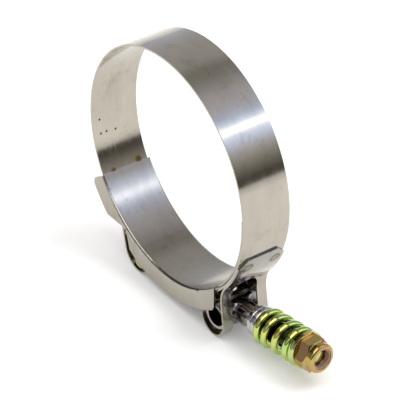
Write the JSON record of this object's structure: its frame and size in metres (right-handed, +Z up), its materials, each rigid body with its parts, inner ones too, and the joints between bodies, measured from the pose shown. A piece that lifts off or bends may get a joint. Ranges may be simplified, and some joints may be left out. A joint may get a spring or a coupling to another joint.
{
  "type": "spring-loaded T-bolt hose clamp",
  "caption": "Spring-loaded T-bolt band clamp for a hose or pipe, with a bridge under the bolt and a lock nut.",
  "frame": {"origin": "centre of the ring that closes on the hose, on its axis and in the middle of the band's width", "axes": "+Y along the ring's axis, +X along the bolt's side towards the nut, +Z up, away from the bolt"},
  "size_m": [0.1172, 0.021, 0.0978],
  "materials": {
    "stainless_band": "bright rolled stainless strip",
    "stainless_trunnion": "polished stainless",
    "green_zinc": "yellow-green iridescent zinc",
    "gold_zinc": "golden iridescent zinc",
    "nylon": "matte"
  },
  "bodies": {
    "band": {"band": "stainless_band", "bridge": "stainless_band"},
    "trunnion": {"trunnion": "stainless_trunnion", "spring_seat": "stainless_trunnion", "spring": "green_zinc"},
    "t_bolt": {"t_bolt": "green_zinc"},
    "washer": {"washer": "green_zinc"},
    "nut": {"lock_nut": "gold_zinc", "nut_insert": "nylon"}
  },
  "joints": [
    {"name": "trunnion_pivot", "type": "hinge", "parent": "band", "child": "trunnion", "pos_m": [0.0276, 0.0004, -0.04515], "axis": [-0.0698, 0.9976, 0], "range_deg": [-0.2, 1]},
    {"name": "bolt_slide", "type": "slide", "parent": "trunnion", "child": "t_bolt", "axis": [0.9944, 0.0695, 0.0802], "range_m": [0, 0.0015]},
    {"name": "nut_travel", "type": "slide", "parent": "t_bolt", "child": "washer", "axis": [-0.9944, -0.0695, -0.0802], "range_m": [0, 0.0065], "deforming": ["spring"]},
    {"name": "nut_spin", "type": "hinge", "parent": "washer", "child": "nut", "pos_m": [0.0276, 0.0004, -0.04515], "axis": [0.9944, 0.0695, 0.0802], "range_deg": [-2590, 0]}
  ],
  "couplings": [
    {"joint": "nut_spin", "follows": "nut_travel", "rad_per_m": -6927.4}
  ]
}
